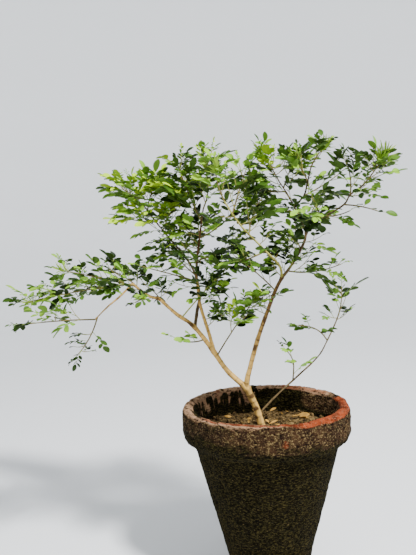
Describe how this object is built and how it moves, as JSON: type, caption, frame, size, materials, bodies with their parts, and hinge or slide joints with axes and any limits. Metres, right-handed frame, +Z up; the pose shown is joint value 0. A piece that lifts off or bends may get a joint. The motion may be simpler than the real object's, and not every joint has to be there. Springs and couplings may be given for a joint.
{
  "type": "young orange jasmine shrub in a clay pot",
  "caption": "Slender young shrub with a leaning forked trunk, open spreading crown of small glossy pinnate leaves, growing in a weathered round clay pot filled with soil.",
  "frame": {"origin": "centre of the pot's flat underside", "axes": "+Z up, +X to the picture viewer's right, +Y away from the viewer"},
  "size_m": [0.6931, 0.365, 0.7698],
  "materials": {
    "clay": "weathered unglazed terracotta, dark with moss and lime below the lip",
    "soil": "moist crumbly garden soil with dry litter",
    "bark": "pale tan bark with fine fissures and darker knuckles",
    "leaf": "glossy dark to mid green leaflets",
    "bright_leaf": "semi-gloss bright yellow-green young leaflets"
  },
  "bodies": {
    "root": {"pot": "clay", "soil": "soil", "trunk": "bark", "left_stem": "bark", "left_drop": "bark", "centre_stem": "bark", "rear_stem": "bark", "right_stem": "bark", "inner_bough": "bark", "right_bough": "bark", "top_bough": "bark", "high_bough": "bark", "far_bough": "bark", "low_shoot": "bark", "left_reach_spray": "leaf", "left_high_spray": "leaf", "elbow_spray": "leaf", "knuckle_sprig": "leaf", "rear_left_spray": "leaf", "left_low_spray": "leaf", "left_hanging_spray": "leaf", "midway_spray": "leaf", "upper_left_tip_spray": "bright_leaf", "upper_left_low_spray": "bright_leaf", "upper_left_top_spray": "bright_leaf", "upper_left_bright_spray": "bright_leaf", "rear_inner_spray": "leaf", "centre_left_spray": "leaf", "centre_top_spray": "leaf", "centre_mid_spray": "leaf", "centre_side_spray": "leaf", "rear_centre_spray": "leaf", "front_top_spray": "leaf", "front_right_spray": "leaf", "front_mid_spray": "leaf", "front_low_spray": "leaf", "fork_spray": "leaf", "inner_right_spray": "leaf", "rear_right_spray": "leaf", "right_side_sprig": "leaf", "top_spray": "leaf", "top_left_spray": "leaf", "rear_top_spray": "leaf", "high_spray": "leaf", "high_left_spray": "leaf", "high_right_spray": "leaf", "far_spray": "leaf", "far_arm_spray": "leaf", "far_up_spray": "leaf", "far_under_spray": "leaf", "front_far_spray": "leaf", "shoot_tip_spray": "leaf", "shoot_side_sprig": "leaf", "shoot_low_sprig": "leaf", "low_left_sprig": "leaf", "low_centre_spray": "leaf", "green_shoot_spray": "leaf", "rear_mid_spray": "leaf", "rear_low_spray": "leaf", "inner_left_spray": "leaf"}
  },
  "joints": []
}
